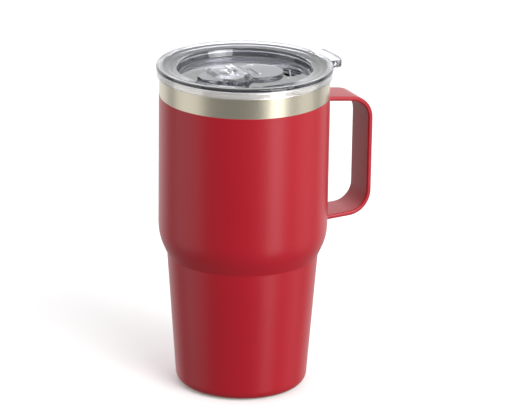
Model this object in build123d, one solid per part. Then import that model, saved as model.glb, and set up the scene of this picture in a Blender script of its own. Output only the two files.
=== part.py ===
from build123d import *
import math
import os

# Double-walled steel travel mug with a bent strap handle and a clear press-in lid.
# Millimetres. The origin is the centre of the base, +Z points up, and the handle, the lid's
# thumb tab and the slider's travel all lie along +X.

# ---- mug body ------------------------------------------------------------------------------
body_height = 183.0          # base to the top of the steel rim
mouth_radius = 47.0          # outside of the upper body
shoulder_step = 4.95         # how much narrower the lower body is at the foot of the shoulder
shoulder_foot_height = 76.5  # where the lower body meets the shoulder cone
shoulder_slope = 24.2        # degrees from vertical
lower_taper = 4.15           # degrees from vertical
shoulder_fillet = 30.0       # rounding at the top of the shoulder
neck_fillet = 3.0            # rounding at the foot of the shoulder
base_fillet = 5.5
rim_fillet = 1.3
shell_wall = 0.6
vacuum_gap = 2.9
liner_wall = 0.5
foot_flange = 9.0            # base corner to the edge of the hole in the foot
liner_floor_height = 7.5     # underside of the inner cup above the table
band_height = 15.1           # bare steel band between the rim and the coating
coat_thickness = 0.25
coat_start = 1.2             # the coating stops this far above the table

# ---- base pressings ------------------------------------------------------------------------
bottom_wall = 0.6
bottom_rise = 2.0            # how far the middle of the outer bottom is pressed up
bottom_land = 8.0            # width of its flat outer ring
liner_bottom_rise = 1.2
cover_wall = 0.4
cover_clearance = 0.3
evacuation_radius = 1.2
seal_radius = 2.6
seal_height = 1.2
getter_radius = 4.0
getter_height = 1.4
getter_offset = 12.0
clip_width = 3.0
clip_wall = 0.3
clip_foot = 2.5

# ---- handle --------------------------------------------------------------------------------
strap_width = 21.0
strap_thickness = 2.6
strap_edge = 1.0             # rounding of the strap's long edges
finger_gap = 25.2            # clear space between the body and the strap
handle_top_drop = 20.4       # rim down to the middle of the strap at its upper end
handle_low_rise = 5.3        # top of the shoulder up to the middle of the strap's lower end
arm_slope = 6.6              # degrees, the upper arm falls away from the body
low_arm_slope = 2.6          # degrees, the lower arm rises away from the body
strap_bend = 12.4            # bend radius at the middle of the strap
strap_root = 5.0             # the blank runs this far into the body before it is trimmed

# ---- lid -----------------------------------------------------------------------------------
flange_thickness = 2.2       # flange above the rim
flange_overhang = 2.0        # flange beyond the body
skirt_drop = 6.1             # height of the flange's outer wall
skirt_clearance = 0.4        # between the skirt and the body
flange_fillet = 1.2
skirt_draft = 0.4            # the skirt narrows this much towards its lower edge
lid_edge = 0.5               # rounding of the skirt's and the plug's lower edges
plug_clearance = 1.1         # between the plug and the liner
plug_wall = 2.0
plug_depth = 12.5            # below the rim
step_width = 3.5             # raised outer ring of the flange
step_height = 0.35
well_wall = 1.9              # wall between the well and the hollow behind it
well_top_inset = 9.5         # mouth's edge to the well's upper edge
well_draft = 1.0             # how much narrower the well is at its floor
well_depth = 6.3             # flange top to the well floor
well_edge_drop = 1.7         # the inner edge of the flange is this much lower
floor_thickness = 2.0
floor_fillet = 1.0
well_fillet = 1.0            # rounding of the well's upper edge
tab_reach = 6.3              # thumb tab beyond the flange
tab_half_width = 13.0
tab_thickness = 4.1
tab_corner = 3.0
tab_fillet = 0.8

# ---- gasket --------------------------------------------------------------------------------
gasket_height = 3.4
gasket_base = 1.0
gasket_drop = 6.6            # rim down to the top of the gasket
gasket_lip = 1.2             # thickness of each lip at its root
lip_clearance = 0.12         # lip tips to the liner

# ---- drink opening and slider --------------------------------------------------------------
opening_radius = 12.3
opening_margin = 1.9         # opening to the edge of the well floor
opening_chord = 2.0          # the opening's straight edge, inward of its arc's centre
web_width = 0.9
web_height = 1.5
web_angle = 66.5             # degrees between each web and the slider's travel
slider_travel = 13.7
slider_clearance = 0.15      # under the slider
slider_plate = 1.35
cover_radius = 13.6
cover_end_gap = 0.6          # cover end to the edge of the well floor with the slider closed
waist_half_width = 9.0
waist_offset = 6.5           # cover end's centre to the waist
ridge_offset = 12.3          # cover end's centre to the grip ridge
ridge_half_length = 14.5
ridge_height = 2.4
ridge_crest = 1.6            # width of the ridge's flat top
ridge_slope_run = 5.0        # crest's middle to the foot of its gentle face
ridge_steep_run = 2.4        # crest's middle to the foot of its steep face
lobe_offset = 20.5           # cover end's centre to the widest place of the tail
lobe_half_width = 16.8
tail_half_width = 4.0
tail_gap = 9.5               # tail to the well wall with the slider open
tail_corner = 2.0
waist_corner = 1.0
plateau_height = 1.1         # tail's surface above the plate
plateau_end = 25.5           # cover end's centre to the plateau's far edge
plateau_ramp = 2.5
dimple_radius = 5.5
dimple_depth = 1.4
dimple_offset = 19.3         # cover end's centre to the middle of the dimple
rib_width = 0.7
rib_height = 0.45
rib_half_length = 5.5
rib_gap = 2.1
stem_width = 4.0
stem_length = 6.0
stem_clearance = 0.2
stem_offset = 14.3           # cover end's centre to the stem
retainer_radius = 6.0
retainer_thickness = 1.6

# ---- places that follow from the sizes -----------------------------------------------------
slope_tan = math.tan(math.radians(shoulder_slope))
slope_cos = math.cos(math.radians(shoulder_slope))
taper_tan = math.tan(math.radians(lower_taper))
taper_cos = math.cos(math.radians(lower_taper))
neck_radius = mouth_radius - shoulder_step
foot_radius = neck_radius - shoulder_foot_height * taper_tan
shoulder_top_height = shoulder_foot_height + shoulder_step / slope_tan
liner_outer_inset = shell_wall + vacuum_gap
liner_inner_inset = liner_outer_inset + liner_wall
liner_mouth_radius = mouth_radius - liner_inner_inset
paint_line = body_height - band_height
flange_radius = mouth_radius + flange_overhang
lid_top = body_height + flange_thickness
plug_radius = liner_mouth_radius - plug_clearance
well_top_radius = mouth_radius - well_top_inset
well_radius = well_top_radius - well_draft
well_floor = lid_top - well_depth
opening_center = well_radius - max(opening_margin + opening_radius, cover_end_gap + cover_radius)
cover_center = opening_center - slider_travel
slider_base = well_floor + slider_clearance
plate_top = slider_base + slider_plate
tail_end = -(well_radius - tail_gap)


def above(z):
    """Place something at height z on the axis."""
    return Location((0, 0, z))


def at(x, y, z):
    return Location((x, y, z))


def solid_of_revolution(points, radii=0):
    """Turn a closed outline of (radius, height) points about the axis."""
    outline = FilletPolyline(*[(r, 0, z) for r, z in points], radius=radii, close=True)
    return revolve(make_face(outline), Axis.Z)


def body_form(inset, low, high, low_fillet=0, high_fillet=0):
    """The mug's outside form, moved inward by inset and cut off at two heights."""
    def lower_radius(z):
        return foot_radius + z * taper_tan - inset / taper_cos

    neck_z = shoulder_foot_height + inset * (1 / slope_cos - 1 / taper_cos) / (slope_tan - taper_tan)
    top_z = shoulder_foot_height + (shoulder_step + inset / slope_cos - inset) / slope_tan
    upper_radius = mouth_radius - inset
    points = [(0, low), (lower_radius(low), low), (lower_radius(neck_z), neck_z),
              (upper_radius, top_z), (upper_radius, high), (0, high)]
    radii = [0, low_fillet, neck_fillet + inset, shoulder_fillet - inset, high_fillet, 0]
    return solid_of_revolution(points, radii)


def disc(radius, low, thickness):
    return above(low) * Cylinder(radius, thickness, align=(Align.CENTER, Align.CENTER, Align.MIN))


def pressed_disc(radius, low, wall, land, rise):
    """A sheet disc with a flat outer ring and a middle that is pressed up."""
    inner = radius - land
    top = inner - rise
    points = [(0, low + rise), (top, low + rise), (inner, low), (radius, low), (radius, low + wall),
              (inner, low + wall), (top, low + rise + wall), (0, low + rise + wall)]
    return solid_of_revolution(points)


def block(length, width, height):
    return Box(length, width, height, align=(Align.CENTER, Align.CENTER, Align.MIN))


# ---- mug body ------------------------------------------------------------------------------
def foot_opening_radius():
    return foot_radius - foot_flange


def make_outer_shell():
    shell = body_form(0, 0, body_height, base_fillet, rim_fillet)
    shell -= body_form(shell_wall, shell_wall, body_height - shell_wall,
                       base_fillet - shell_wall, rim_fillet - shell_wall)
    shell -= disc(foot_opening_radius(), 0, shell_wall)
    shell -= disc(mouth_radius - liner_outer_inset, body_height - 2 * shell_wall, 2 * shell_wall)
    return shell


def make_powder_coat():
    skin = body_form(-coat_thickness, 0, paint_line, base_fillet)
    skin -= body_form(0, 0, body_height, base_fillet)
    skin -= disc(mouth_radius, 0, coat_start)
    return skin - make_strap_blank()


def make_inner_liner():
    liner = body_form(liner_outer_inset, liner_floor_height, body_height)
    return liner - body_form(liner_inner_inset, liner_floor_height, body_height)


def make_liner_bottom():
    sheet = pressed_disc(mouth_radius, liner_floor_height, liner_wall,
                         mouth_radius - foot_radius + bottom_land + liner_inner_inset, liner_bottom_rise)
    return sheet & body_form(liner_inner_inset, liner_floor_height, body_height)


def make_outer_bottom():
    sheet = pressed_disc(foot_radius - base_fillet, shell_wall, bottom_wall, bottom_land, bottom_rise)
    return sheet - disc(evacuation_radius, 0, liner_floor_height)


def panel_top():
    return shell_wall + bottom_rise + bottom_wall


def make_vacuum_seal():
    bead = disc(seal_radius, shell_wall + bottom_rise - seal_height, seal_height)
    return bead + disc(evacuation_radius, shell_wall + bottom_rise, bottom_wall)


def make_getter():
    return at(getter_offset, 0, 0) * disc(getter_radius, panel_top(), getter_height)


def make_getter_clip():
    """A strip over the pellet with a foot at each end, welded to the outer bottom."""
    inside = getter_radius + clip_wall
    over = block(2 * (inside + clip_wall), clip_width, getter_height + clip_wall)
    over -= block(2 * inside, clip_width, getter_height)
    feet = block(2 * (inside + clip_foot), clip_width, clip_wall) - block(2 * inside, clip_width, clip_wall)
    return at(getter_offset, 0, panel_top()) * (over + feet)


def make_base_cover():
    return disc(foot_opening_radius() - cover_clearance, shell_wall - cover_wall, cover_wall)


# ---- handle --------------------------------------------------------------------------------
def strap_route():
    """The line along the middle of the strap, from inside the body and back."""
    reach = mouth_radius + finger_gap + strap_thickness / 2
    start_z = body_height - handle_top_drop
    end_z = shoulder_top_height + handle_low_rise
    root = mouth_radius - strap_root
    fall = math.tan(math.radians(arm_slope))
    rise = math.tan(math.radians(low_arm_slope))

    def upper(x):
        return (x, 0, start_z - (x - mouth_radius) * fall)

    def lower(x):
        return (x, 0, end_z + (x - mouth_radius) * rise)

    return FilletPolyline(upper(root), upper(reach), lower(reach), lower(root),
                          radius=[strap_bend, strap_bend])


def make_strap_blank():
    """The whole bent strap, still running into the body."""
    route = strap_route()
    section = Plane(origin=route @ 0, x_dir=(0, 1, 0), z_dir=route % 0)
    flat = section * RectangleRounded(strap_width, strap_thickness, strap_edge)
    return sweep(flat, path=route)


def make_handle_strap():
    return make_strap_blank() - body_form(0, 0, body_height)


# ---- lid -----------------------------------------------------------------------------------
def make_flange_and_plug():
    """The turned part of the lid: flange, skirt, plug, the hollow behind the well, the floor."""
    skirt_inside = mouth_radius + skirt_clearance
    step_radius = flange_radius - step_width
    edge_z = lid_top - well_edge_drop
    skirt_low = lid_top - skirt_drop
    plug_low = body_height - plug_depth
    hollow_outer = plug_radius - plug_wall
    hollow_inner = well_radius + well_wall
    floor_low = well_floor - floor_thickness
    hollow_top = edge_z - well_wall
    points = [(0, well_floor), (well_radius, well_floor), (well_top_radius, edge_z),
              (step_radius, lid_top - step_height), (step_radius + step_height, lid_top),
              (flange_radius, lid_top), (flange_radius - skirt_draft, skirt_low),
              (skirt_inside, skirt_low), (skirt_inside, body_height), (plug_radius, body_height),
              (plug_radius, plug_low), (hollow_outer, plug_low), (hollow_outer, hollow_top),
              (hollow_inner, hollow_top), (hollow_inner, floor_low), (0, floor_low)]
    radii = [0, floor_fillet, well_fillet, 0, 0, flange_fillet, lid_edge, 0, 0, 0,
             lid_edge, lid_edge, 0, 0, floor_fillet, 0]
    return solid_of_revolution(points, radii)


def gasket_groove():
    """The ring of space that the gasket's base fills."""
    top = body_height - gasket_drop
    inner = plug_radius - gasket_base
    return solid_of_revolution([(inner, top - gasket_height), (plug_radius, top - gasket_height),
                                (plug_radius, top), (inner, top)])


def make_tab():
    """The thumb tab over the handle. Its outer edge runs round with the flange."""
    reach = flange_radius + tab_reach
    plate = Circle(reach) & Rectangle(2 * reach, 2 * tab_half_width)
    plate = fillet(plate.vertices(), tab_corner)
    tab = above(lid_top - tab_thickness) * extrude(plate, amount=tab_thickness)
    tab = fillet(tab.edges().group_by(Axis.Z)[-1] + tab.edges().group_by(Axis.Z)[0], tab_fillet)
    tab -= disc(flange_radius - flange_fillet, 0, 2 * lid_top)
    return tab & at(reach, 0, 0) * block(2 * reach, 2 * reach, 2 * lid_top)


def opening_outline():
    """A disc with its inner part cut off by a straight edge."""
    cut = Rectangle(2 * opening_radius, 2 * opening_radius, align=(Align.MAX, Align.CENTER))
    return Pos(opening_center, 0) * (Circle(opening_radius) - Pos(-opening_chord, 0) * cut)


def make_webs():
    """Two thin crossed webs in the drink opening."""
    middle = opening_center + (opening_radius - opening_chord) / 2
    bar = block(4 * opening_radius, web_width, web_height)
    cross = Rotation(0, 0, web_angle) * bar + Rotation(0, 0, -web_angle) * bar
    space = extrude(opening_outline(), amount=floor_thickness)
    low = well_floor - floor_thickness
    return above(low) * (Pos(middle, 0, (floor_thickness - web_height) / 2) * cross & space)


def stem_slot():
    """The slot that the slider's stem runs in, long enough for the whole travel."""
    length = stem_length + slider_travel + 2 * stem_clearance
    width = stem_width + 2 * stem_clearance
    middle = cover_center - stem_offset + slider_travel / 2
    return at(middle, 0, well_floor - floor_thickness) * extrude(
        SlotOverall(length, width), amount=floor_thickness)


def make_lid_body():
    lid = make_flange_and_plug() + make_tab()
    lid -= gasket_groove()
    lid -= above(well_floor - floor_thickness) * extrude(opening_outline(), amount=floor_thickness)
    lid -= stem_slot()
    return lid + make_webs()


def make_lid_gasket():
    """A band in the plug's groove with two soft lips that reach for the liner."""
    top = body_height - gasket_drop
    low = top - gasket_height
    inner = plug_radius - gasket_base
    tip = liner_mouth_radius - lip_clearance
    groove_gap = gasket_height - 2 * gasket_lip
    return solid_of_revolution([
        (inner, low), (plug_radius, low), (tip, low + gasket_lip / 2), (plug_radius, low + gasket_lip),
        (plug_radius, low + gasket_lip + groove_gap), (tip, top - gasket_lip / 2),
        (plug_radius, top), (inner, top)])


# ---- slider --------------------------------------------------------------------------------
def slider_outline():
    """Plan of the slider: a round cover end, a waist, and a tail that is widest near the ridge."""
    c = cover_center
    half = [(c - waist_offset, waist_half_width), (c - ridge_offset, ridge_half_length),
            (c - lobe_offset, lobe_half_width), (tail_end, tail_half_width)]
    mirrored = [(x, -y) for x, y in reversed(half)]
    corners = [0, waist_corner, tail_corner, tail_corner]
    tail = make_face(FilletPolyline(*half, *mirrored, radius=corners + corners[::-1], close=True))
    return Pos(c, 0) * Circle(cover_radius) + tail


def make_ridge():
    """The grip ridge: a long gentle face towards the cover end and a steep one towards the tail."""
    crest = cover_center - ridge_offset
    profile = [(crest + ridge_slope_run, slider_base), (crest + ridge_slope_run, plate_top),
               (crest + ridge_crest / 2, plate_top + ridge_height),
               (crest - ridge_crest / 2, plate_top + ridge_height),
               (crest - ridge_steep_run, slider_base)]
    face = make_face(Polyline(*[(x, 0, z) for x, z in profile], close=True))
    return extrude(face, amount=2 * lobe_half_width, both=True)


def make_plateau():
    """The raised surface of the tail, from the ridge to a short ramp."""
    crest = cover_center - ridge_offset
    high = plate_top + plateau_height
    end = cover_center - plateau_end
    profile = [(crest, plate_top), (crest, high), (end, high), (end - plateau_ramp, plate_top)]
    face = make_face(Polyline(*[(x, 0, z) for x, z in profile], close=True))
    return extrude(face, amount=2 * lobe_half_width, both=True)


def make_dimple():
    """A shallow bowl for a fingertip, between the ridge and the tail."""
    ball = (dimple_radius ** 2 + dimple_depth ** 2) / (2 * dimple_depth)
    bowl = above(plate_top + plateau_height + ball - dimple_depth) * Sphere(ball)
    return Pos(cover_center - dimple_offset, 0) * (bowl & disc(dimple_radius, 0, lid_top))


def make_slider():
    c = cover_center
    plan = slider_outline()
    slider = above(slider_base) * extrude(plan, amount=slider_plate)
    prism = above(slider_base) * extrude(plan, amount=slider_plate + ridge_height)
    slider += (make_ridge() + make_plateau()) & prism
    slider -= make_dimple()
    first_rib = c - ridge_offset + ridge_slope_run + rib_gap
    for x in (first_rib, first_rib + rib_gap):
        slider += at(x, 0, plate_top) * block(rib_width, 2 * rib_half_length, rib_height)
    depth = slider_base - (well_floor - floor_thickness) + stem_clearance + retainer_thickness
    stem = SlotOverall(stem_length, stem_width)
    return slider + at(c - stem_offset, 0, slider_base - depth) * extrude(stem, amount=depth)


def make_slider_retainer():
    """A ring button snapped on the end of the stem, below the lid's floor."""
    low = well_floor - floor_thickness - stem_clearance - retainer_thickness
    ring = Circle(retainer_radius) - SlotOverall(stem_length, stem_width)
    return at(cover_center - stem_offset, 0, low) * extrude(ring, amount=retainer_thickness)


def main():
    os.makedirs("parts", exist_ok=True)
    nodes = {
        "outer_shell": make_outer_shell(),
        "powder_coat": make_powder_coat(),
        "inner_liner": make_inner_liner(),
        "liner_bottom": make_liner_bottom(),
        "outer_bottom": make_outer_bottom(),
        "vacuum_seal": make_vacuum_seal(),
        "getter": make_getter(),
        "getter_clip": make_getter_clip(),
        "base_cover": make_base_cover(),
        "handle_strap": make_handle_strap(),
        "lid_body": make_lid_body(),
        "lid_gasket": make_lid_gasket(),
        "slider": make_slider(),
        "slider_retainer": make_slider_retainer(),
    }
    for name, node in nodes.items():
        export_step(node, f"parts/{name}.step")


main()
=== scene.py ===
# %% [markdown]
# # A steel travel mug, step by step
# The mug is a double-walled steel body with a red powder coat, a bare brushed band under its mouth,
# a bent flat handle and a clear moulded lid with a slider. The engineering model is loaded first as a
# fixed frame, and every visible piece is then built around it as a smooth surface worked out with numpy.

# %% Load the frame
import math

import bmesh
import bpy
import numpy as np
from mathutils import Matrix, Vector


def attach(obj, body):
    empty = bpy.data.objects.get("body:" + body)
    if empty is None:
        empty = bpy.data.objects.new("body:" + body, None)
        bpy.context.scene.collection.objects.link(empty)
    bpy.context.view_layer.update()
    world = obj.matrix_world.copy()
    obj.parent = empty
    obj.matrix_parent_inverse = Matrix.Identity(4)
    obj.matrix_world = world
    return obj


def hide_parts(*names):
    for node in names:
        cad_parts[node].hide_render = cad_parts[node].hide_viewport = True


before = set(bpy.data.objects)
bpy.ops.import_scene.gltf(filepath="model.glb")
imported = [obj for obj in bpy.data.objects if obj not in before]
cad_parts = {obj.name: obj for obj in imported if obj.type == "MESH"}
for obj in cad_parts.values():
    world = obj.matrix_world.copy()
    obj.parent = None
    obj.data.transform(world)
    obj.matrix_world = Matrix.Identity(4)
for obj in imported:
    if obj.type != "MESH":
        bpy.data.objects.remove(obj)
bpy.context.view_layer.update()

print("nodes", sorted(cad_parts))

# %% [markdown]
# ## Sizes
# The script works in millimetres and turns to metres only when a mesh is written. These are the
# driving sizes of the real mug; the places below them follow, as they do in the engineering model.

# %% Sizes in millimetres
MM = 0.001
BODY_HEIGHT = 183.0
MOUTH_RADIUS = 47.0
SHOULDER_STEP = 4.95
SHOULDER_FOOT = 76.5
SHOULDER_SLOPE = math.radians(24.2)
LOWER_TAPER = math.radians(4.15)
SHOULDER_FILLET = 30.0
NECK_FILLET = 3.0
BASE_FILLET = 5.5
RIM_FILLET = 1.3
SHELL_WALL = 0.6
LINER_OUTER_INSET = 3.5
LINER_INNER_INSET = 4.0
LINER_FLOOR = 7.5
PAINT_LINE = BODY_HEIGHT - 15.1
COAT = 0.25
COAT_START = 1.2

NECK_RADIUS = MOUTH_RADIUS - SHOULDER_STEP
FOOT_RADIUS = NECK_RADIUS - SHOULDER_FOOT * math.tan(LOWER_TAPER)
FOOT_OPENING = FOOT_RADIUS - 9.0
print("foot radius", round(FOOT_RADIUS, 2), "mm")

# %% [markdown]
# ## Outlines with true arcs
# Pressed steel and moulded plastic have no sharp corners. An outline is drawn as a few corner points,
# and this function swaps each corner for an arc that touches both of its sides.

# %% Round the corners of an outline
ARC_STEP = math.radians(7)


def rounded(corners, radii):
    """Corners replaced by arcs. An arc touches both sides at radius / tan(half the inside angle) from
    the corner; its points blend the two touch directions by sines, which keeps them on the circle."""
    corners = np.asarray(corners, float)
    runs = []
    for i, radius in enumerate(radii):
        p, before, after = corners[i], corners[i - 1], corners[(i + 1) % len(corners)]
        if radius == 0:
            runs.append(p[None])
            continue
        u = (before - p) / np.linalg.norm(before - p)
        v = (after - p) / np.linalg.norm(after - p)
        inside = math.acos(np.clip(u @ v, -1, 1))
        centre = p + (u + v) / np.linalg.norm(u + v) * radius / math.sin(inside / 2)
        touch = radius / math.tan(inside / 2)
        start, end = p + u * touch - centre, p + v * touch - centre
        sweep = math.pi - inside
        k = np.linspace(0, 1, max(4, math.ceil(sweep / ARC_STEP)) + 1)[:, None]
        blend = np.sin((1 - k) * sweep) * start + np.sin(k * sweep) * end
        runs.append(centre + blend / math.sin(sweep))
    return np.concatenate(runs)


square = [(0, 0), (1, 0), (1, 1), (0, 1)]
print("a square with round corners has", len(rounded(square, [0.1] * 4)), "points")

# %% [markdown]
# ## Grids of points become meshes
# Every new surface is an array of points with two parameters. Neighbouring points make quads, doubled
# points at seams and poles are merged, and edges sharper than 35 degrees stay crisp.

# %% Turn a grid into a mesh
SHARP = math.radians(35)


def tidied(mesh):
    """The mesh with seams merged, faces outward, and smooth shading between its crisp edges."""
    shape = bmesh.new()
    shape.from_mesh(mesh)
    bmesh.ops.remove_doubles(shape, verts=shape.verts, dist=2e-6)
    bmesh.ops.recalc_face_normals(shape, faces=shape.faces)
    shape.to_mesh(mesh)
    shape.free()
    mesh.shade_smooth()
    mesh.set_sharp_from_angle(angle=SHARP)
    return mesh


def grid_mesh(name, points, wrap_rows=False, wrap_columns=False):
    """A quad between each four neighbours of points[row, column], given in millimetres."""
    rows, columns = points.shape[:2]
    i = np.arange(rows if wrap_rows else rows - 1)[:, None]
    j = np.arange(columns if wrap_columns else columns - 1)[None, :]
    i_next, j_next = (i + 1) % rows, (j + 1) % columns
    quads = np.stack([i * columns + j, i * columns + j_next,
                      i_next * columns + j_next, i_next * columns + j], axis=-1)
    mesh = bpy.data.meshes.new(name)
    mesh.from_pydata((points.reshape(-1, 3) * MM).tolist(), [], quads.reshape(-1, 4).tolist())
    return tidied(mesh)


def turned(name, outline, closed=True, around=256):
    """The outline (radius, height) turned about Z: x = r cos a, y = r sin a, z = height."""
    angle = np.linspace(0, 2 * math.pi, around, endpoint=False)
    r, z = outline[:, 0, None], outline[:, 1, None]
    points = np.stack([r * np.cos(angle), r * np.sin(angle), z + 0 * angle], axis=-1)
    return grid_mesh(name, points, wrap_rows=closed, wrap_columns=True)


print("helpers for grids are ready")

# %% [markdown]
# ## Putting a piece in the scene
# A finished piece says which body it moves with and which engineering nodes it stands for,
# and takes its finish from the material it is given.

# %% Add a finished piece
def add_piece(mesh, material, body, slot, *replaced):
    """The mesh as an object at the origin that rides on a body and hides the nodes it stands for."""
    piece = bpy.data.objects.new(mesh.name, mesh)
    bpy.context.scene.collection.objects.link(piece)
    mesh.materials.clear()
    mesh.materials.append(material)
    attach(piece, body)
    if replaced:
        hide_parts(*replaced)
    print(piece.name, len(mesh.polygons), "faces")
    return piece


# %% [markdown]
# ## Building materials from nodes
# One function turns a hex colour to linear light, and one adds a node with its settings and links.

# %% Colour and node helpers
def linear(hex_colour, alpha=1.0):
    """An sRGB hex colour as linear red, green, blue and alpha."""
    srgb = np.array([int(hex_colour[k:k + 2], 16) for k in (0, 2, 4)]) / 255
    light = np.where(srgb <= 0.04045, srgb / 12.92, ((srgb + 0.055) / 1.055) ** 2.4)
    return (*light.tolist(), alpha)


def add_node(tree, kind, inputs=None, links=None, **settings):
    """A new node with its properties, its input values and its incoming links."""
    made = tree.nodes.new(kind)
    for key, value in settings.items():
        setattr(made, key, value)
    for key, value in (inputs or {}).items():
        made.inputs[key].default_value = value
    for key, source in (links or {}).items():
        tree.links.new(source, made.inputs[key])
    return made


def new_material(name, **inputs):
    """A material with one Principled shader, its sockets set, and its tree."""
    material = bpy.data.materials.new(name)
    material.use_nodes = True
    tree = material.node_tree
    shader = tree.nodes["Principled BSDF"]
    for key, value in inputs.items():
        shader.inputs[key.replace("_", " ")].default_value = value
    return material, tree, shader


print("red as linear light", [round(c, 3) for c in linear("B02130")])

# %% [markdown]
# ## Powder coat
# Polyester powder is baked on the steel. It flows out to a satin film with a faint orange peel about
# a millimetre across and a much finer grain, so highlights are broad and slightly broken. The colour
# drifts a little where the film is thicker.

# %% Red powder coat
DRIFT_SIZE, PEEL_SIZE, GRAIN_SIZE = 40.0, 1.3, 0.35
PEEL_HEIGHT, GRAIN_HEIGHT = 0.08, 0.02


def powder_coat_material():
    """Colour = a mix of two reds by slow noise. Height = orange peel noise plus finer grain noise."""
    material, tree, shader = new_material("polyester_powder_coat", Roughness=0.35, Specular_IOR_Level=0.4)
    place = add_node(tree, "ShaderNodeTexCoord").outputs["Object"]
    drift = add_node(tree, "ShaderNodeTexNoise", {"Scale": 1 / (DRIFT_SIZE * MM), "Detail": 2.0},
                     {"Vector": place})
    colour = add_node(tree, "ShaderNodeMix", {"A": linear("97081A"), "B": linear("9F0C1E")},
                      {"Factor": drift.outputs["Fac"]}, data_type="RGBA")
    tree.links.new(colour.outputs["Result"], shader.inputs["Base Color"])
    peel = add_node(tree, "ShaderNodeTexNoise", {"Scale": 1 / (PEEL_SIZE * MM), "Detail": 1.5},
                    {"Vector": place})
    grain = add_node(tree, "ShaderNodeTexNoise", {"Scale": 1 / (GRAIN_SIZE * MM), "Detail": 2.0},
                     {"Vector": place})
    waves = add_node(tree, "ShaderNodeBump", {"Strength": 0.10, "Distance": PEEL_HEIGHT * MM},
                     {"Height": peel.outputs["Fac"]})
    bump = add_node(tree, "ShaderNodeBump", {"Strength": 0.12, "Distance": GRAIN_HEIGHT * MM},
                    {"Height": grain.outputs["Fac"], "Normal": waves.outputs["Normal"]})
    tree.links.new(bump.outputs["Normal"], shader.inputs["Normal"])
    return material


red_coat = powder_coat_material()
print("made", red_coat.name)

# %% [markdown]
# ## Brushed steel
# The bare band was turned against an abrasive belt, which leaves fine scratches that run around the
# body. They spread reflections up and down but keep them narrow sideways, so the band shows tall
# bright and dark bars. Real scratches are too fine to show, so they are drawn 0.3 mm tall.

# %% Brushed and satin steel
SCRATCH_SIZE, SCRATCH_DEPTH = 0.3, 0.01
SCRATCHES_SIDEWAYS = 12.0
ROUGHNESS_SPREAD = 0.03


def brushed_steel_material(name, hex_colour, roughness, anisotropy, scratch):
    """Noise squeezed along Z into thin lines sets the tint, the roughness and the height. The tangent
    runs round the Z axis, so highlights stretch at right angles to the lines."""
    material, tree, shader = new_material(name, Metallic=1.0, Anisotropic=anisotropy)
    place = add_node(tree, "ShaderNodeTexCoord").outputs["Object"]
    scale = (SCRATCHES_SIDEWAYS, SCRATCHES_SIDEWAYS, 1 / (SCRATCH_SIZE * MM))
    stretched = add_node(tree, "ShaderNodeMapping", {"Scale": scale}, {"Vector": place})
    lines = add_node(tree, "ShaderNodeTexNoise", {"Scale": 1.0, "Detail": 4.0, "Roughness": 0.6},
                     {"Vector": stretched.outputs["Vector"]})
    tint = add_node(tree, "ShaderNodeMix", {"A": linear(hex_colour), "B": linear("CBC5B6")},
                    {"Factor": lines.outputs["Fac"]}, data_type="RGBA")
    tree.links.new(tint.outputs["Result"], shader.inputs["Base Color"])
    rough = add_node(tree, "ShaderNodeMapRange",
                     {"To Min": roughness - ROUGHNESS_SPREAD, "To Max": roughness + ROUGHNESS_SPREAD},
                     {"Value": lines.outputs["Fac"]})
    tree.links.new(rough.outputs["Result"], shader.inputs["Roughness"])
    bump = add_node(tree, "ShaderNodeBump", {"Strength": scratch, "Distance": SCRATCH_DEPTH * MM},
                    {"Height": lines.outputs["Fac"]})
    tree.links.new(bump.outputs["Normal"], shader.inputs["Normal"])
    round_body = add_node(tree, "ShaderNodeTangent", direction_type="RADIAL", axis="Z")
    tree.links.new(round_body.outputs["Tangent"], shader.inputs["Tangent"])
    return material


brushed_steel = brushed_steel_material("belt_brushed_steel", "C2BAA4", 0.26, 0.75, 0.08)
liner_steel = brushed_steel_material("satin_steel", "B4B2AE", 0.22, 0.3, 0.1)
sheet_steel = brushed_steel_material("rolled_sheet_steel", "A9A7A2", 0.34, 0.2, 0.15)
print("made three steels")

# %% [markdown]
# ## Clear plastic and silicone
# The lid, slider and retainer are injection moulded in a clear copolyester with a refractive index
# of about 1.55. The mould was polished, so the surface is glossy, with a faint waviness from shrinkage
# as it cooled. The gasket is translucent silicone, softer and milky.

# %% Clear copolyester and silicone
SINK_SIZE, SINK_HEIGHT = 6.0, 0.1
HAZE_SIZE = 2.0


def clear_plastic_material():
    """A clear shader with slow noise as its height."""
    material, tree, shader = new_material("clear_copolyester", IOR=1.55, Roughness=0.03)
    shader.inputs["Transmission Weight"].default_value = 0.97
    shader.inputs["Base Color"].default_value = linear("F1F3FB")
    place = add_node(tree, "ShaderNodeTexCoord").outputs["Object"]
    sink = add_node(tree, "ShaderNodeTexNoise", {"Scale": 1 / (SINK_SIZE * MM), "Detail": 1.0},
                    {"Vector": place})
    bump = add_node(tree, "ShaderNodeBump", {"Strength": 0.12, "Distance": SINK_HEIGHT * MM},
                    {"Height": sink.outputs["Fac"]})
    tree.links.new(bump.outputs["Normal"], shader.inputs["Normal"])
    return material


def silicone_material():
    """A milky shader whose roughness follows noise."""
    material, tree, shader = new_material("translucent_silicone", IOR=1.41, Roughness=0.35)
    shader.inputs["Transmission Weight"].default_value = 0.75
    shader.inputs["Base Color"].default_value = linear("EDEFF2")
    place = add_node(tree, "ShaderNodeTexCoord").outputs["Object"]
    haze = add_node(tree, "ShaderNodeTexNoise", {"Scale": 1 / (HAZE_SIZE * MM), "Detail": 2.0},
                    {"Vector": place})
    rough = add_node(tree, "ShaderNodeMapRange", {"To Min": 0.3, "To Max": 0.42},
                     {"Value": haze.outputs["Fac"]})
    tree.links.new(rough.outputs["Result"], shader.inputs["Roughness"])
    return material


clear_plastic = clear_plastic_material()
silicone = silicone_material()
print("made", clear_plastic.name, "and", silicone.name)

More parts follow.
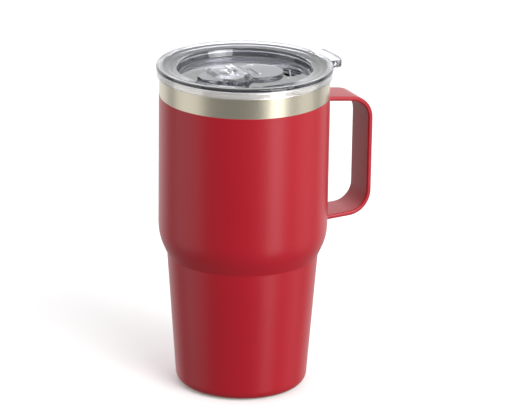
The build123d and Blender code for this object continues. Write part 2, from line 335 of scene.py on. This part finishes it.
# %% [markdown]
# ## Hidden pieces
# The glass bead, the getter pellet and its clip lie in the vacuum space, and the outer bottom closes it.
# They keep their engineering shapes and get finishes of what they are made of.

# %% Sealing glass and pressed powder
def mottled_material(name, dark, light, grain, roughness, metallic):
    """Colour = a mix of dark and light by noise whose spots are grain millimetres wide."""
    material, tree, shader = new_material(name, Metallic=metallic, Roughness=roughness)
    place = add_node(tree, "ShaderNodeTexCoord").outputs["Object"]
    spots = add_node(tree, "ShaderNodeTexNoise", {"Scale": 1 / (grain * MM), "Detail": 3.0},
                     {"Vector": place})
    colour = add_node(tree, "ShaderNodeMix", {"A": linear(dark), "B": linear(light)},
                      {"Factor": spots.outputs["Fac"]}, data_type="RGBA")
    tree.links.new(colour.outputs["Result"], shader.inputs["Base Color"])
    return material


seal_glass = mottled_material("fused_sealing_glass", "2E3330", "59605B", 0.8, 0.12, 0.0)
getter_powder = mottled_material("pressed_getter_powder", "3A3A3C", "555457", 0.3, 0.75, 0.6)
for node_name, finish in (("vacuum_seal", seal_glass), ("getter", getter_powder),
                          ("getter_clip", sheet_steel), ("outer_bottom", sheet_steel)):
    cad_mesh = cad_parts[node_name].data
    cad_mesh.materials.clear()
    cad_mesh.materials.append(finish)
print("finished the hidden pieces")

# %% [markdown]
# ## The body's outside form
# The mug is a slightly tapered lower tube, a shoulder cone with a wide soft top and a straight upper
# tube. Every wall of the body is this same form moved inward by some distance, so one function gives
# the corner points for any inset.

# %% Wall outlines
def wall(inset, low, high, low_fillet=0.0, high_fillet=0.0):
    """Corners and radii of the wall moved inward by inset, from low to high. Two moved lines meet
    where the tapers' height difference makes up for their different slants."""
    taper, slope = math.tan(LOWER_TAPER), math.tan(SHOULDER_SLOPE)
    slant_low, slant_cone = inset / math.cos(LOWER_TAPER), inset / math.cos(SHOULDER_SLOPE)
    neck = SHOULDER_FOOT + (slant_cone - slant_low) / (slope - taper)
    top = SHOULDER_FOOT + (SHOULDER_STEP + slant_cone - inset) / slope
    corners = [(FOOT_RADIUS + low * taper - slant_low, low), (FOOT_RADIUS + neck * taper - slant_low, neck),
               (MOUTH_RADIUS - inset, top), (MOUTH_RADIUS - inset, high)]
    return corners, [low_fillet, NECK_FILLET + inset, SHOULDER_FILLET - inset, high_fillet]


def shell_outline():
    """Up the outside, over the rim, down the inside and round the foot."""
    outside, outside_radii = wall(0, 0, BODY_HEIGHT, BASE_FILLET, RIM_FILLET)
    inside, inside_radii = wall(SHELL_WALL, SHELL_WALL, BODY_HEIGHT - SHELL_WALL,
                                BASE_FILLET - SHELL_WALL, RIM_FILLET - SHELL_WALL)
    lip = MOUTH_RADIUS - LINER_OUTER_INSET
    corners = [*outside, (lip, BODY_HEIGHT), (lip, BODY_HEIGHT - SHELL_WALL), *inside[::-1],
               (FOOT_OPENING, SHELL_WALL), (FOOT_OPENING, 0)]
    return rounded(corners, [*outside_radii, 0, 0, *inside_radii[::-1], 0, 0])


def wall_above(outline, low):
    """The part of an upward outline above a height, starting exactly at it."""
    start = np.array([[np.interp(low, outline[:, 1], outline[:, 0]), low]])
    return np.concatenate([start, outline[outline[:, 1] > low]])


def coat_outline():
    """The film: its outside up to a softly rounded masked edge, then back down against the steel."""
    outer_corners, outer_radii = wall(-COAT, 0, PAINT_LINE, BASE_FILLET, COAT * 0.6)
    inner_corners, inner_radii = wall(0, 0, PAINT_LINE, BASE_FILLET, 0)
    pad = (MOUTH_RADIUS - COAT, PAINT_LINE)
    outer = rounded([*outer_corners, pad, (0, PAINT_LINE), (0, 0)], [*outer_radii, 0, 0, 0])[:-3]
    inner = rounded([*inner_corners, (0, PAINT_LINE), (0, 0)], [*inner_radii, 0, 0])[:-2]
    return np.concatenate([wall_above(outer, COAT_START), wall_above(inner, COAT_START)[::-1]])


print("shell outline has", len(shell_outline()), "points, coat outline", len(coat_outline()))

# %% Outer shell and powder coat
add_piece(turned("steel_shell", shell_outline()), brushed_steel, "mug", "shell_steel", "outer_shell")
add_piece(turned("red_powder_coat", coat_outline()), red_coat, "mug", "coat", "powder_coat")

# %% [markdown]
# ## The cup inside
# The liner is the wall that holds the drink. Its bottom is a separate pressing with a raised middle,
# seam welded to the tube.

# %% Liner tube and liner bottom
LINER_RISE, LINER_LAND, LINER_SHEET = 1.2, 8.0, 0.5


def liner_outline():
    """The body's wall at the liner's outer inset going up, and at its inner inset coming down."""
    outside, outside_radii = wall(LINER_OUTER_INSET, LINER_FLOOR, BODY_HEIGHT, 0, 0.2)
    inside, inside_radii = wall(LINER_INNER_INSET, LINER_FLOOR, BODY_HEIGHT, 0, 0.2)
    return rounded([*outside, *inside[::-1]], [*outside_radii, *inside_radii[::-1]])


def pressing_outline(radius, low, sheet, land, rise, bend=0.8):
    """From the middle of the top, out over the pressed step to the edge, and back underneath."""
    inner = radius - land
    corners = [(0, low + rise + sheet), (inner - rise, low + rise + sheet), (inner, low + sheet),
               (radius, low + sheet), (radius, low), (inner, low), (inner - rise, low + rise),
               (0, low + rise)]
    return rounded(corners, [0, bend, bend, 0, 0, bend, bend, 0])


liner_bottom_radius = wall(LINER_INNER_INSET, LINER_FLOOR, BODY_HEIGHT)[0][0][0]
add_piece(turned("cup_liner", liner_outline()), liner_steel, "mug", "liner_steel", "inner_liner")
cup_bottom = pressing_outline(liner_bottom_radius, LINER_FLOOR, LINER_SHEET, LINER_LAND, LINER_RISE)
add_piece(turned("cup_bottom", cup_bottom, closed=False), liner_steel, "mug", "liner_steel", "liner_bottom")

# %% [markdown]
# ## The base cover
# A thin steel disc closes the foot, hides the seal and sits just inside the standing ring.

# %% Base cover
COVER_CLEARANCE, COVER_LIFT, COVER_SHEET = 0.3, 0.2, 0.4


def cover_outline():
    """A flat disc: top, rounded rim, underside."""
    radius, low, high = FOOT_OPENING - COVER_CLEARANCE, COVER_LIFT, COVER_LIFT + COVER_SHEET
    return rounded([(0, high), (radius, high), (radius, low), (0, low)], [0, 0.1, 0.15, 0])


add_piece(turned("foot_cover", cover_outline(), closed=False), sheet_steel, "mug", "pressing_steel",
          "base_cover")

# %% [markdown]
# ## The strap handle
# A flat steel strap is bent twice and welded to the body before painting. Its route lies in the plane
# y = 0: an upper arm that falls away from the body, a straight grip and a lower arm. A rounded
# rectangle is carried along it, and at both ends the section follows the curve of the body.

# %% Handle strap
STRAP_WIDTH, STRAP_THICKNESS, STRAP_EDGE = 21.0, 2.6, 1.0
FINGER_GAP = 25.2
STRAP_BEND = 12.4
ARM_TOP = BODY_HEIGHT - 20.4
SHOULDER_TOP = SHOULDER_FOOT + SHOULDER_STEP / math.tan(SHOULDER_SLOPE)
ARM_LOW = SHOULDER_TOP + 5.3
ARM_FALL, ARM_RISE = math.tan(math.radians(6.6)), math.tan(math.radians(2.6))
WELD_FLARE, WELD_REACH = 0.5, 0.6
SLIDE_REACH = 9.0
SINK_DEPTH = 0.1


def strap_route():
    """Points (x, z) along the middle of the strap, evenly close, with arcs at its two bends."""
    reach = MOUTH_RADIUS + FINGER_GAP + STRAP_THICKNESS / 2
    span = reach - MOUTH_RADIUS
    corners = [(MOUTH_RADIUS, ARM_TOP), (reach, ARM_TOP - span * ARM_FALL),
               (reach, ARM_LOW + span * ARM_RISE), (MOUTH_RADIUS, ARM_LOW)]
    line = rounded(corners, [0, STRAP_BEND, STRAP_BEND, 0])
    length = np.concatenate([[0], np.cumsum(np.linalg.norm(np.diff(line, axis=0), axis=1))])
    even = np.linspace(0, length[-1], 160)
    return np.stack([np.interp(even, length, line[:, 0]), np.interp(even, length, line[:, 1])], -1), even


def strap_points():
    """Row i, column j is route_i + across_j * Y + up_j * normal_i, with the ends slid along the strap
    until they lie on the body and widened a little, as the weld and the paint leave them."""
    route, along = strap_route()
    tangent = np.gradient(route, axis=0)
    tangent /= np.linalg.norm(tangent, axis=1)[:, None]
    normal = np.stack([-tangent[:, 1], tangent[:, 0]], -1)
    w, t = STRAP_WIDTH / 2, STRAP_THICKNESS / 2
    section = rounded([(-w, -t), (w, -t), (w, t), (-w, t)], [STRAP_EDGE] * 4)
    from_end = np.minimum(along, along[-1] - along)[:, None]
    flare = 1 + WELD_FLARE / t * np.exp(-(from_end / WELD_REACH) ** 2)
    across = section[None, :, 0] * (1 + (flare - 1) * t / w)
    up = section[None, :, 1] * flare
    sink = MOUTH_RADIUS - np.sqrt((MOUTH_RADIUS - SINK_DEPTH) ** 2 - across ** 2)
    inward = np.where(along < along[-1] / 2, -1.0, 1.0)[:, None] * np.exp(-(from_end / SLIDE_REACH) ** 2)
    x = route[:, 0, None] + up * normal[:, 0, None] + inward * sink * tangent[:, 0, None]
    z = route[:, 1, None] + up * normal[:, 1, None] + inward * sink * tangent[:, 1, None]
    points = np.stack([x, across + 0 * x, z], axis=-1)
    closing = points[[0, -1]].copy()
    closing[0, :, 2], closing[1, :, 2] = ARM_TOP, ARM_LOW
    return np.concatenate([closing[:1], points, closing[1:]])


add_piece(grid_mesh("strap_handle", strap_points(), wrap_columns=True), red_coat, "mug", "painted_strap",
          "handle_strap")

# %% [markdown]
# ## The clear lid
# The lid is one moulding: a flange that caps the rim, a skirt outside it, a plug inside it, and a
# sunken well with a flat floor. Its turned part is an outline about the axis. The thumb tab, the
# drink opening with its crossed webs, and the slot for the slider's stem break the symmetry, so they
# are added and cut with Boolean modifiers, which are then applied.

# %% Lid sizes
LID_TOP = BODY_HEIGHT + 2.2
FLANGE_RADIUS = MOUTH_RADIUS + 2.0
LINER_MOUTH = MOUTH_RADIUS - LINER_INNER_INSET
PLUG_RADIUS = LINER_MOUTH - 1.1
PLUG_LOW = BODY_HEIGHT - 12.5
PLUG_WALL = 2.0
WELL_TOP_RADIUS = MOUTH_RADIUS - 9.5
WELL_RADIUS = WELL_TOP_RADIUS - 1.0
WELL_WALL = 1.9
WELL_FLOOR = LID_TOP - 6.3
FLOOR = 2.0
FLOOR_LOW = WELL_FLOOR - FLOOR
GROOVE_TOP, GROOVE_LOW, GROOVE_RADIUS = BODY_HEIGHT - 6.6, BODY_HEIGHT - 10.0, PLUG_RADIUS - 1.0
OPENING_RADIUS, OPENING_CHORD, OPENING_MARGIN = 12.3, 2.0, 1.9
OPENING_CENTRE = WELL_RADIUS - OPENING_MARGIN - OPENING_RADIUS
SLIDER_TRAVEL = 13.7
COVER_CENTRE = OPENING_CENTRE - SLIDER_TRAVEL
print("drink opening centre", round(OPENING_CENTRE, 1), "mm")
print("slider cover centre", round(COVER_CENTRE, 1), "mm")


def lid_outline():
    """From the middle of the floor, out over the flange, round the skirt and the plug, and back."""
    well_edge, step, rim = LID_TOP - 1.7, FLANGE_RADIUS - 3.5, 0.35
    hollow, hollow_top, plug_in = WELL_RADIUS + WELL_WALL, LID_TOP - 3.6, PLUG_RADIUS - PLUG_WALL
    skirt_in, skirt_low, draft = MOUTH_RADIUS + 0.4, LID_TOP - 6.1, 0.4
    top = [(0, WELL_FLOOR), (WELL_RADIUS, WELL_FLOOR), (WELL_TOP_RADIUS, well_edge), (step, LID_TOP - rim),
           (step + rim, LID_TOP), (FLANGE_RADIUS, LID_TOP)]
    skirt = [(FLANGE_RADIUS - draft, skirt_low), (skirt_in, skirt_low), (skirt_in, BODY_HEIGHT),
             (PLUG_RADIUS, BODY_HEIGHT)]
    groove = [(PLUG_RADIUS, GROOVE_TOP), (GROOVE_RADIUS, GROOVE_TOP), (GROOVE_RADIUS, GROOVE_LOW),
              (PLUG_RADIUS, GROOVE_LOW)]
    plug = [(PLUG_RADIUS, PLUG_LOW), (plug_in, PLUG_LOW), (plug_in, hollow_top), (hollow, hollow_top),
            (hollow, FLOOR_LOW), (0, FLOOR_LOW)]
    radii = [0, 1.0, 1.0, 0.15, 0.15, 1.2, 0.6, 0.3, 0.3, 0.4, *[0.1] * 4, 0.6, 0.6, 0.3, 0.3, 1.0, 0]
    return rounded([*top, *skirt, *groove, *plug], radii)


print("lid outline has", len(lid_outline()), "points")

# %% [markdown]
# ## Prisms and Booleans
# A prism is a flat outline between two heights. It serves as a cutter and as a small added block.

# %% Prisms and Boolean steps
def prism(name, outline, low, high, edge=0.0):
    """The outline (x, y) carried from low to high, its rims drawn in by edge, and capped at its middle."""
    middle = outline.mean(axis=0)
    drawn_in = middle + (outline - middle) * (1 - edge / np.linalg.norm(outline - middle, axis=1))[:, None]
    heights = [(middle + 0 * outline, low), (drawn_in, low), (outline, low + edge),
               (outline, high - edge), (drawn_in, high), (middle + 0 * outline, high)]
    rows = [np.column_stack([flat, np.full(len(flat), z)]) for flat, z in heights]
    return grid_mesh(name, np.array(rows), wrap_columns=True)


def with_tool(mesh, operation, tool_mesh):
    """The mesh with a tool mesh joined to it (UNION) or cut out of it (DIFFERENCE). Both are used up."""
    base = bpy.data.objects.new(mesh.name, mesh)
    tool = bpy.data.objects.new("tool", tool_mesh)
    for thing in (base, tool):
        bpy.context.scene.collection.objects.link(thing)
    step = base.modifiers.new(operation, "BOOLEAN")
    step.operation, step.object, step.solver = operation, tool, "EXACT"
    bpy.context.view_layer.update()
    result = bpy.data.meshes.new_from_object(base.evaluated_get(bpy.context.evaluated_depsgraph_get()))
    name = mesh.name
    for thing in (base, tool):
        bpy.data.objects.remove(thing)
    for spent in (mesh, tool_mesh):
        bpy.data.meshes.remove(spent)
    result.name = name
    return tidied(result)


def slot_outline(x, length, width, steps=12):
    """Two half circles joined by straight sides, centred at (x, 0)."""
    turn = np.linspace(-math.pi / 2, math.pi / 2, steps)
    end = np.stack([np.cos(turn), np.sin(turn)], -1) * width / 2
    shift = np.array([(length - width) / 2, 0])
    return np.concatenate([end + shift, -end - shift]) + [x, 0]


def opening_outline():
    """A circle cut by a straight edge on the slider's side."""
    turn = np.linspace(-1, 1, 49) * math.acos(-OPENING_CHORD / OPENING_RADIUS)
    return np.stack([np.cos(turn), np.sin(turn)], -1) * OPENING_RADIUS + [OPENING_CENTRE, 0]


print("opening outline has", len(opening_outline()), "points")

# %% The lid's tab, webs and slot
STEM_OFFSET, STEM_LENGTH, STEM_WIDTH = 14.3, 6.0, 4.0
STEM_CLEARANCE = 0.4
TAB_REACH, TAB_HALF_WIDTH, TAB_CORNER, TAB_ROOT = 6.3, 13.0, 3.0, 3.0
TAB_LOW, TAB_HIGH, TAB_EDGE = LID_TOP - 4.2, LID_TOP - 0.1, 0.7
WEB_ANGLE = math.radians(66.5)
WEB_HALF_LENGTH, WEB_HALF_WIDTH, WEB_SET_BACK = 14.2, 0.45, 0.25
CUTTER_EXCESS = 1.0


def tab_outline():
    """A strip that reaches past the flange. Its outer edge is an arc round the axis: x = R cos a,
    y = R sin a; the two corners on it are rounded."""
    inner, outer, half = FLANGE_RADIUS - TAB_ROOT, FLANGE_RADIUS + TAB_REACH, TAB_HALF_WIDTH
    widest = math.asin(half / outer)
    turn = np.linspace(-widest, widest, 25)
    arc = np.stack([outer * np.cos(turn), outer * np.sin(turn)], -1)
    clear_of_corners = arc[6:-6]
    corners = np.concatenate([[(inner, -half)], arc[[0]], clear_of_corners, arc[[-1]], [(inner, half)]])
    return rounded(corners, [0, TAB_CORNER, *[0] * len(clear_of_corners), TAB_CORNER, 0])


def web_outline(side):
    """A thin bar across the drink opening, turned by the web angle to one side."""
    middle = np.array([OPENING_CENTRE + (OPENING_RADIUS - OPENING_CHORD) / 2, 0])
    along = np.array([math.cos(WEB_ANGLE), side * math.sin(WEB_ANGLE)])
    across = WEB_HALF_WIDTH * np.array([-along[1], along[0]])
    reach = WEB_HALF_LENGTH * along
    return middle + np.array([-reach - across, reach - across, reach + across, -reach + across])


def stem_slot_outline():
    """The stem's outline swept along the slider's travel, with clearance all round."""
    middle = COVER_CENTRE - STEM_OFFSET + SLIDER_TRAVEL / 2
    return slot_outline(middle, STEM_LENGTH + SLIDER_TRAVEL + STEM_CLEARANCE, STEM_WIDTH + STEM_CLEARANCE)


print("tab outline has", len(tab_outline()), "points, stem slot", len(stem_slot_outline()))

# %% Lid body
def lid_mesh():
    """The turned lid plus the tab, minus the opening and the slot, plus two webs."""
    lid = turned("clear_lid", lid_outline(), closed=False)
    lid = with_tool(lid, "UNION", prism("tab", tab_outline(), TAB_LOW, TAB_HIGH, edge=TAB_EDGE))
    for hole in (opening_outline(), stem_slot_outline()):
        cutter = prism("cutter", hole, FLOOR_LOW - CUTTER_EXCESS, WELL_FLOOR + CUTTER_EXCESS)
        lid = with_tool(lid, "DIFFERENCE", cutter)
    for side in (-1, 1):
        web = prism("web", web_outline(side), FLOOR_LOW + WEB_SET_BACK, WELL_FLOOR - WEB_SET_BACK)
        lid = with_tool(lid, "UNION", web)
    return lid


add_piece(lid_mesh(), clear_plastic, "lid", "clear_plastic", "lid_body")

# %% [markdown]
# ## The gasket
# A silicone band sits in the plug's groove. Its two soft lips reach out for the liner.

# %% Lid gasket
LIP_HEIGHT, LIP_CLEARANCE = 1.2, 0.12


def gasket_outline():
    """The groove's rectangle with a pointed lip at its lower and its upper outside edge."""
    top, low, inner = GROOVE_TOP, GROOVE_LOW, GROOVE_RADIUS
    tip, lip = LINER_MOUTH - LIP_CLEARANCE, LIP_HEIGHT
    corners = [(inner, low), (PLUG_RADIUS, low), (tip, low + lip / 2), (PLUG_RADIUS, low + lip),
               (PLUG_RADIUS, top - lip), (tip, top - lip / 2), (PLUG_RADIUS, top), (inner, top)]
    return rounded(corners, [0, 0.1, 0.15, 0.1, 0.1, 0.15, 0.1, 0])


add_piece(turned("silicone_gasket", gasket_outline()), silicone, "lid", "silicone", "lid_gasket")

# %% [markdown]
# ## The slider
# The slider is a clear plate with a round cover end, a waist, and a wide tail. Its top is a height
# field: a grip ridge across it, a bowl for a fingertip behind the ridge, and two ribs in front. The
# first parameter runs along the travel, the second goes round the section, whose half width at each
# place is the larger of the tail's outline and the cover's circle.

# %% Slider
SLIDER_BASE = WELL_FLOOR + 0.15
PLATE_TOP = SLIDER_BASE + 1.35
COVER_RADIUS = 13.6
TAIL_END = -(WELL_RADIUS - 9.5)
RIDGE = COVER_CENTRE - 12.3
RIDGE_HEIGHT, RIDGE_FOOT, RIDGE_TOP = 2.4, 2.4, 0.8
RIDGE_RAMP = RIDGE + 5.0
TAIL_HEIGHT, TAIL_START, TAIL_FULL = 1.1, COVER_CENTRE - 28.0, COVER_CENTRE - 25.5
BOWL_CENTRE, BOWL_RADIUS, BOWL_DEPTH = COVER_CENTRE - 19.3, 5.5, 1.4
RIB_HEIGHT, RIB_HALF_WIDTH, RIB_HALF_LENGTH, RIB_END = 0.45, 0.4, 5.5, 0.15
RIBS = (RIDGE_RAMP + 2.1, RIDGE_RAMP + 4.2)
EDGE_FADE, SLIDER_EDGE = 4.0, 0.45


def slider_half_width(x):
    """Half width of the plan at x: the larger of the tail's outline and the cover's circle."""
    half = rounded([(TAIL_END, 0), (TAIL_END, 4.0), (COVER_CENTRE - 20.5, 16.8), (RIDGE, 14.5),
                    (COVER_CENTRE - 6.5, 9.0), (COVER_CENTRE, 9.0), (COVER_CENTRE, 0)],
                   [0, 2.0, 2.0, 1.0, 1.5, 0, 0])[1:-1]
    tail = np.interp(x, half[:, 0], half[:, 1], right=0)
    circle = np.sqrt(np.clip(COVER_RADIUS ** 2 - (x - COVER_CENTRE) ** 2, 0, None))
    return np.maximum(tail, circle)


def slider_height(x, y):
    """Height of the top at (x, y): a piecewise line along x for the raised tail and the ridge, which sinks
    to the plate near the edge as a quarter sine wave, minus a round parabola for the bowl, plus two ribs
    whose section is exp(-x^4) and whose ends fade as a steep S curve."""
    profile = np.interp(x, [TAIL_START, TAIL_FULL, RIDGE - RIDGE_FOOT, RIDGE - RIDGE_TOP, RIDGE + RIDGE_TOP,
                            RIDGE_RAMP], [0, TAIL_HEIGHT, TAIL_HEIGHT, RIDGE_HEIGHT, RIDGE_HEIGHT, 0])
    inward = np.clip((slider_half_width(x) - np.abs(y)) / EDGE_FADE, 0, 1)
    profile = profile * np.sin(inward * math.pi / 2)
    bowl = BOWL_DEPTH * np.clip(1 - ((x - BOWL_CENTRE) ** 2 + y ** 2) / BOWL_RADIUS ** 2, 0, None)
    ribs = sum(RIB_HEIGHT * np.exp(-((x - middle) / RIB_HALF_WIDTH) ** 4) for middle in RIBS)
    ribs = ribs / (1 + np.exp((np.abs(y) - RIB_HALF_LENGTH) / RIB_END))
    return PLATE_TOP + profile - bowl + ribs


def slider_points(along=260, over=90, under=6):
    """Sections across the travel: under the plate, then back over the top with rounded edges."""
    t = np.linspace(0, 1, along)
    x = TAIL_END + (COVER_CENTRE + COVER_RADIUS - TAIL_END) * (1 - np.cos(math.pi * t)) / 2
    half = slider_half_width(x)[:, None]
    across_top = np.sin(np.linspace(1, -1, over) * math.pi / 2)[None, :] * half
    across_under = np.linspace(-1, 1, under)[None, :] * half
    edge = np.minimum(SLIDER_EDGE, half)
    over_edge = np.clip((np.abs(across_top) - (half - edge)) / np.maximum(edge, 1e-6), 0, 1)
    top = slider_height(x[:, None], across_top) - SLIDER_EDGE * (1 - np.sqrt(1 - over_edge ** 2))
    y = np.concatenate([across_under, across_top], axis=1)
    z = np.concatenate([np.full(across_under.shape, SLIDER_BASE), top], axis=1)
    return np.stack([x[:, None] + 0 * y, y, z], axis=-1)


STEM_BELOW_FLOOR, STEM_IN_PLATE = 1.8, 0.5


def slider_mesh():
    """The plate joined to the stem that hangs below it through the floor's slot."""
    plate = grid_mesh("clear_slider", slider_points(), wrap_columns=True)
    stem = slot_outline(COVER_CENTRE - STEM_OFFSET, STEM_LENGTH, STEM_WIDTH)
    low, high = FLOOR_LOW - STEM_BELOW_FLOOR, SLIDER_BASE + STEM_IN_PLATE
    return with_tool(plate, "UNION", prism("stem", stem, low, high))


add_piece(slider_mesh(), clear_plastic, "closure", "clear_plastic", "slider")

# %% [markdown]
# ## The retainer
# A clear ring button snaps on the stem below the floor. Each of its sections runs from the stem's
# outline out to a circle.

# %% Slider retainer
RETAINER_RADIUS, RETAINER_HEIGHT, RETAINER_EDGE = 6.0, 1.6, 0.25
RETAINER_BELOW_FLOOR, STEM_FIT = 0.2, 0.02


def retainer_points(steps=96):
    """Column angle a: a small rectangle from the stem's side to the outer circle in direction a, with its
    two outer corners cut off."""
    stem = slot_outline(0, STEM_LENGTH + STEM_FIT, STEM_WIDTH + STEM_FIT, steps=steps // 2)
    turn = np.arctan2(stem[:, 1], stem[:, 0])[:, None]
    outer = np.concatenate([np.cos(turn), np.sin(turn)], axis=1) * RETAINER_RADIUS
    drawn_in = outer * 0.96
    high = FLOOR_LOW - RETAINER_BELOW_FLOOR
    low = high - RETAINER_HEIGHT
    rows = [(stem, low), (drawn_in, low), (outer, low + RETAINER_EDGE), (outer, high - RETAINER_EDGE),
            (drawn_in, high), (stem, high)]
    rows = [np.column_stack([flat, np.full(len(flat), z)]) for flat, z in rows]
    return np.array(rows) + [COVER_CENTRE - STEM_OFFSET, 0, 0]


add_piece(grid_mesh("retainer_button", retainer_points(), wrap_rows=True, wrap_columns=True),
          clear_plastic, "closure", "clear_plastic", "slider_retainer")

# %% [markdown]
# ## The stage
# A wide pale sweep: a round floor that bends up into a wall far behind the mug on every side, as a
# studio's paper sweep does, so no edge shows from any side. The camera sees it, but it is kept
# out of reflections, bounced light and shadows, so the steel reflects only the lights and the room.

# %% Floor that sweeps up
SWEEP_REACH, SWEEP_HEIGHT, SWEEP_BEND = 4500.0, 2600.0, 1400.0


def stage_sweep():
    """The outline (radius, height) of floor, bend and wall turned about the axis."""
    outline = rounded([(0, 0), (SWEEP_REACH, 0), (SWEEP_REACH, SWEEP_HEIGHT)], [0, SWEEP_BEND, 0])
    mesh = turned("floor", outline, closed=False, around=128)
    mesh.flip_normals()
    material, _, shader = new_material("white_paper", Roughness=0.9, Specular_IOR_Level=0.0)
    shader.inputs["Base Color"].default_value = linear("F4F4F4")
    mesh.materials.append(material)
    sweep = bpy.data.objects.new("floor", mesh)
    bpy.context.scene.collection.objects.link(sweep)
    sweep.visible_glossy = sweep.visible_diffuse = sweep.visible_shadow = False
    return sweep


sweep = stage_sweep()
print("sweep is", round(2 * max(v.co.x for v in sweep.data.vertices), 1), "m across")

# %% [markdown]
# ## Camera
# A long lens from about one and a half metres, raised some twenty degrees, as a catalogue would show it.

# %% Camera
CAMERA_AZIMUTH = math.radians(-25.0)
CAMERA_DISTANCE, CAMERA_HEIGHT = 1587.4, 647.2
CAMERA_PITCH, CAMERA_YAW, CAMERA_ROLL = 19.002, 0.342, 0.856
LENS, SENSOR_WIDTH = 208.2, 36.0
NEAR, FAR = 0.05, 50.0


def make_camera():
    """Look along a direction given by pitch and yaw, then roll about it, and turn all about Z."""
    pitch, yaw, roll = map(math.radians, (CAMERA_PITCH, CAMERA_YAW, CAMERA_ROLL))
    turn = CAMERA_AZIMUTH
    spin = np.array([[math.cos(turn), -math.sin(turn), 0], [math.sin(turn), math.cos(turn), 0], [0, 0, 1]])
    forward = spin @ [math.sin(yaw) * math.cos(pitch), math.cos(yaw) * math.cos(pitch), -math.sin(pitch)]
    right = spin @ [math.cos(yaw), -math.sin(yaw), 0]
    up = np.cross(right, forward)
    rolled_right = math.cos(roll) * right + math.sin(roll) * up
    rolled_up = -math.sin(roll) * right + math.cos(roll) * up
    data = bpy.data.cameras.new("camera")
    data.lens, data.sensor_width = LENS, SENSOR_WIDTH
    data.clip_start, data.clip_end = NEAR, FAR
    camera = bpy.data.objects.new("camera", data)
    bpy.context.scene.collection.objects.link(camera)
    axes = np.eye(4)
    axes[:3, 0], axes[:3, 1], axes[:3, 2] = rolled_right, rolled_up, -forward
    axes[:3, 3] = spin @ [0, -CAMERA_DISTANCE * MM, CAMERA_HEIGHT * MM]
    camera.matrix_world = Matrix(axes.tolist())
    bpy.context.scene.camera = camera
    return camera


camera = make_camera()
print("camera at", [round(c, 3) for c in camera.location])

# %% [markdown]
# ## Light
# Large soft boxes make the tall bars in the brushed band: a bright one to the right of the camera, a
# wide one far left and a weaker one far right. Dark gaps between them give the steel its contrast. A
# high box above the bright one makes the window patch in the lid's well. The room's background has a
# pale ceiling, which lights the lid evenly, and a pale wall behind the mug that reaches below the
# horizon, which turns the coat's left and right edges pale where they are seen at a grazing angle.

# %% Lights
AIM_HEIGHT = 0.1


def soft_box(name, azimuth, elevation, distance, width, height, radiance):
    """An area light seen from the mug at an azimuth to the right of the camera, and an elevation, both in
    degrees, its distance and sides in metres. Its power is radiance * pi * area."""
    a = CAMERA_AZIMUTH + math.radians(azimuth)
    e = math.radians(elevation)
    place = Vector((math.sin(a) * math.cos(e), -math.cos(a) * math.cos(e), math.sin(e))) * distance
    data = bpy.data.lights.new(name, "AREA")
    data.shape, data.size, data.size_y = "RECTANGLE", width, height
    data.energy = radiance * math.pi * width * height
    light = bpy.data.objects.new(name, data)
    light.visible_camera = False
    bpy.context.scene.collection.objects.link(light)
    light.location = place + Vector((0, 0, AIM_HEIGHT))
    light.rotation_mode = "QUATERNION"
    light.rotation_quaternion = (-place).to_track_quat("-Z", "Y")
    return light


soft_box("key_box", 44, 7, 1.6, 0.58, 2.6, 3.1)
soft_box("high_box", 44, 28, 1.62, 1.3, 1.1, 5.0)
soft_box("left_box", -80, 5, 1.5, 1.35, 2.4, 0.87)
soft_box("right_box", 90, 5, 1.6, 0.9, 2.4, 0.9)

# %% The room's background
def studio_world():
    """Strength = a ramp over the direction's z, plus a pale wall behind the mug: a ramp over how nearly
    the direction points away from the camera, times one over z that fades out well below the horizon."""
    world = bpy.data.worlds.new("studio")
    world.use_nodes = True
    tree = world.node_tree
    direction = add_node(tree, "ShaderNodeTexCoord").outputs["Generated"]
    height = add_node(tree, "ShaderNodeSeparateXYZ", links={"Vector": direction}).outputs["Z"]
    away = (-math.sin(CAMERA_AZIMUTH), math.cos(CAMERA_AZIMUTH), 0.0)
    facing = add_node(tree, "ShaderNodeVectorMath", {1: away}, {0: direction}, operation="DOT_PRODUCT")
    ceiling = add_node(tree, "ShaderNodeMapRange",
                       {"From Min": 0.35, "From Max": 0.75, "To Min": 0.32, "To Max": 1.0},
                       {"Value": height}, interpolation_type="SMOOTHSTEP")
    wall_side = add_node(tree, "ShaderNodeMapRange", {"From Min": 0.42, "From Max": 0.68, "To Max": 1.0},
                         {"Value": facing.outputs["Value"]}, interpolation_type="SMOOTHSTEP")
    wall_low = add_node(tree, "ShaderNodeMapRange", {"From Min": -0.7, "From Max": -0.15},
                        {"Value": height}, interpolation_type="SMOOTHSTEP")
    parts = {place: ramp.outputs["Result"] for place, ramp in enumerate((wall_side, wall_low, ceiling))}
    total = add_node(tree, "ShaderNodeMath", links=parts, operation="MULTIPLY_ADD")
    tree.links.new(total.outputs["Value"], tree.nodes["Background"].inputs["Strength"])
    tree.nodes["Background"].inputs["Color"].default_value = linear("FFFFFF")
    bpy.context.scene.world = world


studio_world()
bpy.context.scene.view_settings.view_transform = "Standard"
print("background:", bpy.context.scene.world.name)
